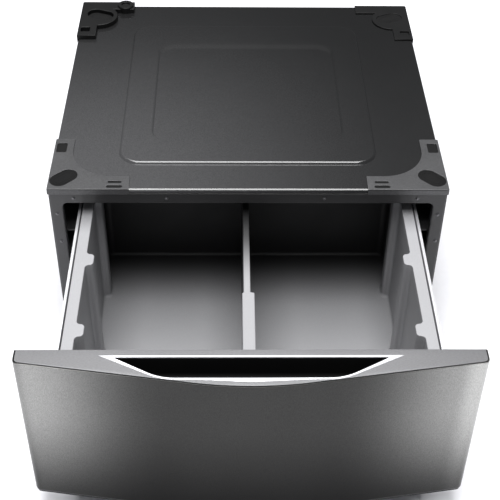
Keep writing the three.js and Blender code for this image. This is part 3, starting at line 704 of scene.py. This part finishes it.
# Screws and rivets. The front frame's screws aren't evenly spaced.
FRAME_SCREW, BACKING_SCREW, BACK_SCREW = 2.6, 3.0, 2.7
FRAME_SCREWS = [(-299, 0, 324), (-140, 0, 324), (130, 0, 324), (290, 0, 324), (-330, 0, 290),
                (-329, 0, 227), (329.5, 0, 288), (332.7, 0, 228), (-330, 0, 70), (330, 0, 70)]
make("frame_screws", screws(FRAME_SCREWS, TO_FRONT, FRAME_SCREW), SCREW_STEEL, "cabinet")
BACKING_SCREWS = [(x, -FRONT_GAP, z) for z in (85, 200, 280) for x in (-318, 318)]
make("backing_screws", screws(BACKING_SCREWS, TO_BACK, BACKING_SCREW), SCREW_STEEL, "drawer")

RIVET_INSET, RIVET_HEIGHTS = 16, (60, 180, 300)
for side, sign in SIDES:
    rivets = [placed(turned(rivet_head(), TO_RIGHT), CABINET_HALF, y, z)
              for y in (RIVET_INSET, DEPTH - RIVET_INSET) for z in RIVET_HEIGHTS]
    make("side_rivets_" + side, merged(*rivets), BODY_PAINT, "cabinet", (), sign)
BACK_SCREWS = [(x, DEPTH + BACK_RISE, z) for x in (-272, 0, 272) for z in (88, 268)]
make("back_screws", screws(BACK_SCREWS, TO_BACK, BACK_SCREW), SCREW_STEEL, "cabinet")

# ---- Levelling feet ----

FOOT_X, FOOT_YS = 319, {"front": 40, "rear": 590}
STUD = {"root": 4.3, "crest": 5, "start": 10.2, "end": 46.6, "top": 48, "pitch": 1.25}
NUT = {"corner": 9.8, "bore": 5.3, "low": 15.9, "high": 21.9}


def levelling_foot():
    """A rubber pad with a waist, a hexagon for the spanner and a threaded stud."""
    pad = [(14, 0), (18.8, 0), (20, 1.2), (20, 2.4), (19.2, 3), (19.2, 3.6), (20, 4.2), (20, 5),
           (18.6, 6), (11, 6.6)]
    hexagon = lathe([(9.5, 6.7), (10, 7.1), (10, 9.2), (9.4, 9.6)], 6)
    root, crest, z = STUD["root"], STUD["crest"], STUD["start"]
    thread = [(root - 0.1, z - 0.5)]
    while z < STUD["end"]:
        thread += [(root, z), (crest, z + 0.5), (root, z + 1)]
        z += STUD["pitch"]
    return merged(lathe(pad), hexagon, lathe(thread + [(3.6, STUD["top"])], 20))


def lock_nut():
    hexagon = arc(0, 0, NUT["corner"], 0, 300, 5)
    bore = arc(0, 0, NUT["bore"], 0, 330, 11)
    return plate(hexagon, [bore], rounded_levels(NUT["low"], NUT["high"], 0.6, 2))


for end, y in FOOT_YS.items():
    for side, sign in SIDES:
        name = f"levelling_foot_{end}_{side}"
        make(name + "_turned", placed(levelling_foot(), FOOT_X, y, 0), RUBBER, name, [name], sign)
        nut = f"lock_nut_{end}_{side}"
        make(nut + "_hex", placed(lock_nut(), FOOT_X, y, 0), ZINC, "cabinet", [nut], sign)

# ---- Ball-bearing slides ----

SLIDE_Z = 215
SLIDE_FOLD = 1.6
# Each member's two limits in X, half height, sheet thickness, two ends in Y, and whether it opens
# towards the drawer.
MEMBERS = {
    "outer": (295, 304.4, 22.5, 1.2, 4, 504, True),
    "middle": (294, 301.8, 18.6, 1.2, 4, 504, True),
    "inner": (291.7, 298.9, 14.7, 1.2, 1, 501, False),
}


BALL, BALL_COUNT, BALL_START, BALL_RUN = 1.1, 10, 174, 152
BALL_ROWS = (("outer", 298.6, 19.95), ("inner", 296.0, 16.05))


def slide_member(start, end, half, thick, y0, y1, open_inwards):
    """A folded channel whose lips run along the balls."""
    back, lip = (end, start) if open_inwards else (start, end)
    z0, z1 = SLIDE_Z - half, SLIDE_Z + half
    path = [(lip, z1), (back, z1), (back, z0), (lip, z0)]
    if not open_inwards:
        path.reverse()
    return folded_sheet(path, thick, y0, y1, SLIDE_FOLD)


def balls(x, half):
    """The upper and lower row of balls in one cage."""
    spacing = BALL_RUN / (BALL_COUNT - 1)
    parts = []
    for i in range(BALL_COUNT):
        for height in (half, -half):
            part = bmesh.new()
            bmesh.ops.create_icosphere(part, subdivisions=2, radius=BALL)
            parts.append(placed(part, x, BALL_START + i * spacing, SLIDE_Z + height))
    return merged(*parts)


for side, sign in SIDES:
    for kind, body in (("outer", "cabinet"), ("middle", "middle_" + side), ("inner", "drawer")):
        make(f"slide_{kind}_{side}_channel", slide_member(*MEMBERS[kind]), ZINC, body,
             [f"slide_{kind}_{side}"], sign)

for side, sign in SIDES:
    for kind, x, half in BALL_ROWS:
        make(f"slide_balls_{kind}_{side}", balls(x, half), SCREW_STEEL, f"{kind}_cage_{side}",
             (), sign)

# ---- Drawer ----

TUB_HALF, TUB_FRONT, TUB_BACK, TUB_CORNER = 270, 4, 525, 12
FLOOR_Z, TUB_TOP, WALL = 55, 285, 2.3
FLUTE, FLUTE_HALF = 6.5, 20
FLUTE_YS = (92, 255, 418)
FLANGE_HALF, FLANGE_FRONT, FLANGE_BACK, FLANGE_CORNER = 289, 1.7, 544, 9
FLANGE_LIP, FLANGE_SHEET, FLOOR_ROUND = 12, 2, 6


def flute(y, offset, side):
    """One flute of the tub wall as points of increasing y on the right, or falling y on the left."""
    x, near, far, end = TUB_HALF - FLUTE, FLUTE + offset, FLUTE - offset, FLUTE_HALF - 2 * FLUTE
    points = (arc(x, y - FLUTE_HALF, near, 0, 90) + arc(x, y - end, far, -90, -180)
              + arc(x, y + end, far, 180, 90) + arc(x, y + FLUTE_HALF, near, -90, 0))
    if side > 0:
        return points
    return [(-px, py) for px, py in points[::-1]]


def tub_outline(offset, flange=None):
    """Plan of the tub wall, offset outwards. With flange it is the flange's edge, inset by that."""
    half, front, back = TUB_HALF - TUB_CORNER, TUB_FRONT + TUB_CORNER, TUB_BACK - TUB_CORNER
    radius = TUB_CORNER + offset
    if flange is not None:
        radius = FLANGE_CORNER - flange
        half, front = FLANGE_HALF - FLANGE_CORNER, FLANGE_FRONT + FLANGE_CORNER
        back = FLANGE_BACK - FLANGE_CORNER

    def wall(side):
        ys = FLUTE_YS if side > 0 else FLUTE_YS[::-1]
        points = [point for y in ys for point in flute(y, offset, side)]
        if flange is None:
            return points
        return [(side * (FLANGE_HALF - flange), y) for _, y in points]

    return (arc(half, front, radius, -90, 0) + wall(1) + arc(half, back, radius, 0, 90)
            + arc(-half, back, radius, 90, 180) + wall(-1) + arc(-half, front, radius, 180, 270))


def tub():
    """The moulded tub: under its floor, up outside, round the flange and down inside."""
    def loop(z, offset=0.0, flange=None):
        return [(x, y, z) for x, y in tub_outline(offset, flange)]

    lip, under, thick = TUB_TOP - FLANGE_LIP, TUB_TOP - FLANGE_SHEET, FLANGE_SHEET
    loops = [loop(FLOOR_Z - WALL, -3.5), loop(FLOOR_Z - WALL + 1.5, 0.8), loop(FLOOR_Z + 3, WALL),
             loop(under, WALL), loop(under, flange=thick), loop(lip, flange=thick),
             loop(lip, flange=0), loop(TUB_TOP - 1.5, flange=0), loop(TUB_TOP - 0.5, flange=0.5),
             loop(TUB_TOP, flange=1.5), loop(TUB_TOP, 1.5), loop(TUB_TOP - 0.4, 0.4),
             loop(TUB_TOP - 1.4, 0)]
    loops += [loop(FLOOR_Z + FLOOR_ROUND - z, x - FLOOR_ROUND) for x, z in arc(0, 0, FLOOR_ROUND, 0, 90)]
    return stack(loops)


DIVIDER_STEP, DIVIDER_END, DIVIDER_TOP = 177, 6.5, 284


def divider():
    """A plate down the middle of the tub, thicker in its front part."""
    front, back, step, r = TUB_FRONT + DIVIDER_END, TUB_BACK - DIVIDER_END, DIVIDER_STEP, 2
    outline = arc(6, front + r, r, -90, 0, 3) + arc(6, step - r, r, 0, 90, 3) + [(1.5, step + 1)]
    outline += arc(-0.5, back - r, r, 0, 90, 3) + arc(-7.5, back - r, r, 90, 180, 3)
    outline += [(-9.5, step + 1)] + arc(-10, step - r, r, 90, 180, 3) + arc(-10, front + r, r, 180, 270, 3)
    return plate(outline, [], rounded_levels(FLOOR_Z + GAP, DIVIDER_TOP, 1.6, 3, 0.3))


def drawer_side():
    """A steel drawer side with its foot turned in and its hem turned out."""
    path = [(262, 51), (291.4, 51), (291.4, 284), (296, 284)]
    return folded_sheet(path, SHEET, -3.7, 549, 1.0)


make("drawer_tub_moulding", tub(), TUB, "drawer", ["drawer_tub"], sharp=SOFT_SHARP)
make("divider_moulding", divider(), DIVIDER, "drawer", ["drawer_divider"])

# Drawer front.
CREST, CROWN_RADIUS, FLANK, END_RADIUS = 76, 558, 0.154, 9
CROWN_Y = CROWN_RADIUS - CREST
END_X = HALF_WIDTH - END_RADIUS
END_Y = CROWN_Y - (CROWN_RADIUS - END_RADIUS - END_X * math.sin(FLANK)) / math.cos(FLANK)


def between(start, end, count=6):
    """The points that part a straight line into count equal lengths."""
    (x0, y0), (x1, y1) = start, end
    return [(x0 + (x1 - x0) * t, y0 + (y1 - y0) * t) for t in [i / count for i in range(1, count)]]


def front_plan(inset):
    """Plan of the drawer front: two flat flanks, a rounded crown and rounded ends."""
    flank = math.degrees(FLANK)
    radius = max(END_RADIUS - inset, 0.3)
    give = inset - (END_RADIUS - radius)
    crown = arc(0, CROWN_Y, CROWN_RADIUS - inset, -90 - flank, -90 + flank, 16)
    right = arc(END_X - give, END_Y, radius, -90 + flank, 0, 8)
    left = arc(-END_X + give, END_Y, radius, -180, -90 - flank, 8)
    half = HALF_WIDTH - inset
    return (left + between(left[-1], crown[0]) + crown + between(crown[-1], right[0]) + right
            + [(half, -FRONT_GAP), (-half, -FRONT_GAP)])


FRONT_LOW, FRONT_TOP = 38, 342.2
CAP_LOW, CAP_TOP = 338.5, 343
BEZEL_LOW, BEZEL_TOP, BEZEL = 341.5, 344, 3.4


def front_shell():
    """The outer skin of the drawer front, rounded under and rolled over at the top."""
    outside = rounded_levels(FRONT_LOW, FRONT_TOP, 0.7, 6, 8.5)
    inside = [(0.8, FRONT_TOP - 0.1), (0.8, 337.4), (2.4, 336), (2.4, 50), (10, 41)]
    return lofted(front_plan, outside + inside, closed=True)


# The handle opening: its straight rear edge, its lowest front point, the rear corners, and the arcs
# that lead the slanted sides into the front edge. tip is how far the bezel's rear corners run out.
HANDLE = {"back": 19, "front": 58.5, "corner": 200, "fillet": 80, "fillet_x": 109.5, "side": 0.518,
          "tip": 1.6, "reach": 100}


def handle_plan(grow, rear=None, front=None):
    """Plan of the handle opening, grown outwards; rear and front may grow by other amounts."""
    rear = grow if rear is None else rear
    front = grow if front is None else front
    h = HANDLE
    side = math.degrees(h["side"])
    radius = h["fillet"] + grow
    y = h["fillet"] - h["front"]
    left = arc(-h["fillet_x"], y, radius, -90 - side, -90, 8)
    middle = [(h["fillet_x"] * i / 8, -h["front"] - grow) for i in range(-7, 8)]
    right = arc(h["fillet_x"], y, radius, -90, -90 + side, 8)

    def eased(x, y):
        share = math.cos(min(1, abs(x) / h["reach"]) * math.pi / 2) ** 2
        return x, y - (front - grow) * share

    edge = h["corner"] + h["tip"] * grow * (1 + math.cos(h["side"])) / math.sin(h["side"])
    back = -h["back"] + rear
    return ([eased(*point) for point in left + middle + right]
            + [(edge * t, back) for t in (1, 0.5, 0, -0.5, -1)])


def handle_trim():
    """The bright bezel: narrow behind, wide in front, with a rounded crown."""
    def loop(z, grow, front):
        return [(x, y, z) for x, y in handle_plan(grow, grow, front)]

    top = BEZEL_TOP
    loops = [loop(BEZEL_LOW, 0, 0), loop(top - 1.0, 0, 0), loop(top - 0.3, 0.4, 0.6), loop(top, 1.0, 2.0),
             loop(top, 2.2, 5.2), loop(top - 0.4, BEZEL - 0.4, 6.6), loop(top - 1.0, BEZEL, 7.4),
             loop(BEZEL_LOW, BEZEL, 7.4)]
    return stack(loops, closed=True)


def top_cap():
    """The cap on the drawer front, round along its edges, with an opening for the bezel."""
    outer = front_plan(2.6)
    hole = handle_plan(BEZEL + 0.05, front=7.8)
    levels = [(0, CAP_LOW), (0, CAP_TOP - 0.5), (0.15, CAP_TOP - 0.15), (0.4, CAP_TOP)]
    hole_levels = [(0, CAP_LOW), (0, CAP_TOP - 0.5), (0.1, CAP_TOP - 0.2), (0.2, CAP_TOP)]
    return plate(outer, [hole], levels, hole_levels)


CUP_WALL, CUP_LOW, CUP_TOP, CUP_FLOOR, CUP_ROUND = 2.2, 300, 341.2, 302.2, 8


def pocket_cup():
    """The black cup for the fingers: up its outside, over its rim and down to its floor."""
    levels = [(-6, CUP_LOW), (-CUP_WALL, CUP_LOW + 0.2), (CUP_WALL, CUP_LOW + 4), (CUP_WALL, CUP_TOP),
              (0, CUP_TOP), (0, CUP_LOW + 10)]
    levels += [(x - CUP_ROUND, CUP_FLOOR + CUP_ROUND - z) for x, z in arc(0, 0, CUP_ROUND, 15, 90, 5)]
    return stack([[(x, y, z) for x, y in handle_plan(grow)] for grow, z in levels])


make("front_shell", front_shell(), GRAPHITE, "drawer", ["front_skin"])
make("front_cap", top_cap(), CAP_SILVER, "drawer", ["front_top_cap"])
make("handle_bezel", handle_trim(), BRIGHT_TRIM, "drawer", ["handle_trim"], sharp=SOFT_SHARP)
make("handle_cup", pocket_cup(), POCKET_BLACK, "drawer", ["handle_pocket"])
for side, sign in SIDES:
    make("drawer_side_pressing_" + side, drawer_side(), ZINC, "drawer",
         ["drawer_side_" + side], sign)

# ---- CAD nodes that stay, with a finish of their own ----

KEPT = {
    BODY_PAINT: ["deck_brace_front", "deck_brace_rear", "base_pan", "slide_support_right",
                 "slide_support_left", "front_backing"],
    ZINC: ["foot_plate_front_right", "foot_plate_front_left", "foot_plate_rear_right",
           "foot_plate_rear_left", "cross_rail_front", "cross_rail_rear", "drawer_rear_rail"],
    CAGE_STEEL: ["ball_cage_outer_right", "ball_cage_outer_left", "ball_cage_inner_right",
                 "ball_cage_inner_left"],
    BLACK_PLASTIC: ["front_bottom_cap", "release_lever_right", "release_lever_left"],
    RUBBER: ["bumper_low_right", "bumper_low_left", "bumper_high_right", "bumper_high_left"],
}
for material, names in KEPT.items():
    for name in names:
        for material_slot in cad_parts[name].material_slots:
            material_slot.material = material

# ---- Stage ----

FLOOR_SIZE = 4
FLOOR = finish("floor", 246, 0.9, grain=(60, 0.01), mottle=(2, 0.01), bump=(0.02, 0.0001))
floor_bm = bmesh.new()
bmesh.ops.create_grid(floor_bm, x_segments=1, y_segments=1, size=FLOOR_SIZE)
floor_mesh = bpy.data.meshes.new("floor")
floor_bm.to_mesh(floor_mesh)
floor_bm.free()
floor_mesh.materials.append(FLOOR)
link("floor", floor_mesh)

# The surroundings light the object dimly, and look pale behind it.
DIM_LIGHT, PALE = (0.95, 0.97, 1.0, 1), (0.9, 0.9, 0.9, 1)
DIM_STRENGTH = 0.14
world = bpy.data.worlds.new("studio")
bpy.context.scene.world = world
world.use_nodes = True
sky_nodes, sky_links = world.node_tree.nodes, world.node_tree.links
sky = sky_nodes.new("ShaderNodeMixShader")
sky_links.new(sky_nodes.new("ShaderNodeLightPath").outputs["Is Camera Ray"], sky.inputs["Fac"])
for socket, color, strength in ((1, DIM_LIGHT, DIM_STRENGTH), (2, PALE, 1)):
    background = sky_nodes.new("ShaderNodeBackground")
    background.inputs["Color"].default_value = color
    background.inputs["Strength"].default_value = strength
    sky_links.new(background.outputs["Background"], sky.inputs[socket])
output = sky_nodes.get("World Output") or sky_nodes.new("ShaderNodeOutputWorld")
sky_links.new(sky.outputs["Shader"], output.inputs["Surface"])


def area_light(name, place, target, size, power):
    """A soft light, with its place and size in metres and its power in watts."""
    light = bpy.data.lights.new(name, "AREA")
    light.shape = "RECTANGLE"
    light.size, light.size_y = size
    light.energy = power
    lamp = link(name, light)
    lamp.location = place
    lamp.rotation_euler = (Vector(target) - Vector(place)).to_track_quat("-Z", "Y").to_euler()


area_light("overhead", (-0.2, 0, 4.5), (-0.1, 0, 0), (6, 3), 420)
area_light("front_fill", (-1.5, -3.5, 1.0), (0, -0.3, 0.2), (2.5, 1.2), 6)

# The camera looks down into the open drawer. Its place is in metres and its angles are radians.
CAMERA_AT = (-0.03047, -1.54595, 1.49560)
PITCH, YAW, ROLL = 0.72594, 0.02378, 0.015994
LENS, SENSOR = 78.35, 36
forward = Vector((math.sin(YAW) * math.cos(PITCH), math.cos(YAW) * math.cos(PITCH), -math.sin(PITCH)))
right = Vector((math.cos(YAW), -math.sin(YAW), 0))
up = right.cross(forward)
across = right * math.cos(ROLL) + up * math.sin(ROLL)
above = up * math.cos(ROLL) - right * math.sin(ROLL)
camera_data = bpy.data.cameras.new("camera")
camera_data.lens = LENS
camera_data.sensor_width = SENSOR
camera_data.clip_end = 50
camera = link("camera", camera_data)
turn = Matrix((across, above, -forward)).transposed()
camera.matrix_world = Matrix.Translation(CAMERA_AT) @ turn.to_4x4()
bpy.context.scene.camera = camera
bpy.context.scene.view_settings.view_transform = "Standard"
